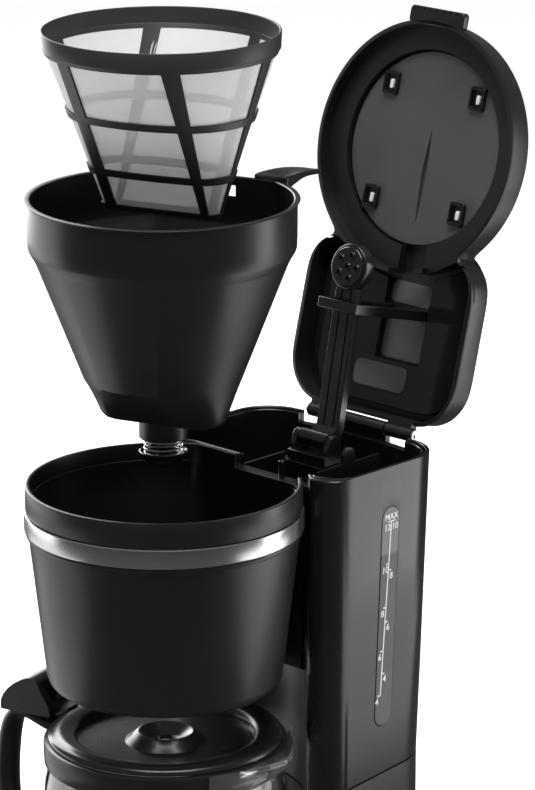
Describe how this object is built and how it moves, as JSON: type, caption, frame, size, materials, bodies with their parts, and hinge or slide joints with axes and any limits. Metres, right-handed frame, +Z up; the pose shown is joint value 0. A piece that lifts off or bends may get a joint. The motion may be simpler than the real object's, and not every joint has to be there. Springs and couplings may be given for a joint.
{
  "type": "drip coffee maker",
  "caption": "Drip coffee maker with an open hinged lid, a lift-out brew basket and mesh filter held above its round housing, a rear water column and a glass carafe.",
  "frame": {"origin": "centre of the whole object's footprint, on the table under the feet", "axes": "+Z up, -Y towards the user at the front, +Y to the rear column, +X to the user's right"},
  "size_m": [0.1896, 0.3226, 0.5604],
  "materials": {
    "gloss_black": "glossy",
    "satin_black": "satin",
    "matte_black": "matte",
    "lid_grey": "satin grey",
    "mesh_pale": "fine translucent mesh",
    "rib_grey": "satin dark grey",
    "natural_plastic": "milky",
    "chrome_trim": "polished, lightly brushed",
    "steel": "plain",
    "plate_coat": "non-stick coating",
    "rubber_black": "matte",
    "silicone_red": "matte",
    "clear_glass": "clear",
    "clear_plastic": "clear",
    "window_smoke": "smoky translucent",
    "lens_red": "red lens",
    "ceramic": "ceramic"
  },
  "bodies": {
    "machine": {"base_housing": "satin_black", "bottom_cover": "matte_black", "foot_1": "rubber_black", "foot_2": "rubber_black", "foot_3": "rubber_black", "foot_4": "rubber_black", "bottom_screw_1": "steel", "bottom_screw_2": "steel", "bottom_screw_3": "steel", "bottom_screw_4": "steel", "warming_plate": "plate_coat", "plate_seal": "rubber_black", "heating_element": "steel", "thermostat": "steel", "thermal_fuse": "ceramic", "check_valve": "natural_plastic", "cold_water_tube": "natural_plastic", "hot_water_tube": "natural_plastic", "riser_tube": "natural_plastic", "button_bezel": "chrome_trim", "indicator_lens": "lens_red", "switch_body": "matte_black", "cord_gland": "matte_black", "column_shell": "gloss_black", "water_window": "window_smoke", "reservoir_tank": "satin_black", "brew_housing": "satin_black", "trim_band": "chrome_trim", "hinge_bracket": "satin_black", "lid_hinge_pin": "steel", "arm_bracket": "satin_black", "arm_pivot_pin": "steel"},
    "lid": {"lid_shell": "satin_black", "lid_inner_disc": "lid_grey", "lid_cover_panel": "lid_grey", "arm_strap": "satin_black"},
    "arm": {"shower_arm": "satin_black", "shower_face": "matte_black"},
    "carry": {"valve_seal": "silicone_red"},
    "lift": {"outlet_bush": "natural_plastic"},
    "basket": {"brew_basket": "satin_black"},
    "valve": {"drip_valve": "natural_plastic", "valve_spring": "steel"},
    "filter": {"filter_frame": "rib_grey", "filter_mesh": "mesh_pale"},
    "carafe": {"carafe_glass": "clear_glass", "carafe_collar": "satin_black", "carafe_handle": "satin_black", "carafe_lid_pin": "steel", "pour_spout": "clear_plastic", "clamp_screw": "steel"},
    "carafe_top": {"carafe_lid": "satin_black", "thumb_lever": "satin_black"},
    "button": {"power_button": "satin_black"}
  },
  "joints": [
    {"name": "lid_hinge", "type": "hinge", "parent": "machine", "child": "lid", "pos_m": [0.01483, 0.08399, 0.306], "axis": [-1, 0, 0], "range_deg": [-104.8, 0]},
    {"name": "arm_hinge", "type": "hinge", "parent": "machine", "child": "arm", "pos_m": [0.02284, 0.03729, 0.3077], "axis": [-1, 0, 0], "range_deg": [-104.85, 0]},
    {"name": "basket_carry", "type": "slide", "parent": "machine", "child": "carry", "axis": [0, 1, 0], "range_m": [-0.2402, 0]},
    {"name": "basket_lift", "type": "slide", "parent": "carry", "child": "lift", "axis": [0, 0, 1], "range_m": [-0.1605, 0]},
    {"name": "basket_turn", "type": "hinge", "parent": "lift", "child": "basket", "pos_m": [0.01483, -0.07751, 0.4675], "axis": [0, 0, 1], "range_deg": [-18.05, 0]},
    {"name": "filter_lift", "type": "slide", "parent": "basket", "child": "filter", "axis": [-0.0142, 0.0435, 0.999], "range_m": [-0.10711, 0]},
    {"name": "drip_valve_slide", "type": "slide", "parent": "basket", "child": "valve", "axis": [0, 0, 1], "range_m": [0, 0.0035], "stiffness_N_per_m": 250, "deforming": ["valve_spring"]},
    {"name": "carafe_slide", "type": "slide", "parent": "machine", "child": "carafe", "axis": [0, -1, 0], "range_m": [0, 0.25]},
    {"name": "carafe_lid_hinge", "type": "hinge", "parent": "carafe", "child": "carafe_top", "pos_m": [-0.05629, -0.09393, 0.1605], "axis": [0.225, -0.9744, 0], "range_deg": [0, 9]},
    {"name": "power_button_slide", "type": "slide", "parent": "machine", "child": "button", "axis": [0, 1, 0], "range_m": [0, 0.002], "stiffness_N_per_m": 400}
  ],
  "couplings": [
    {"joint": "arm_hinge", "follows": "lid_hinge", "ratio": 1},
    {"joint": "basket_carry", "follows": "lid_hinge", "m_per_rad": 0.13121},
    {"joint": "basket_turn", "follows": "basket_lift", "rad_per_m": 1.9574},
    {"joint": "filter_lift", "follows": "basket_lift", "ratio": 0.66674}
  ]
}
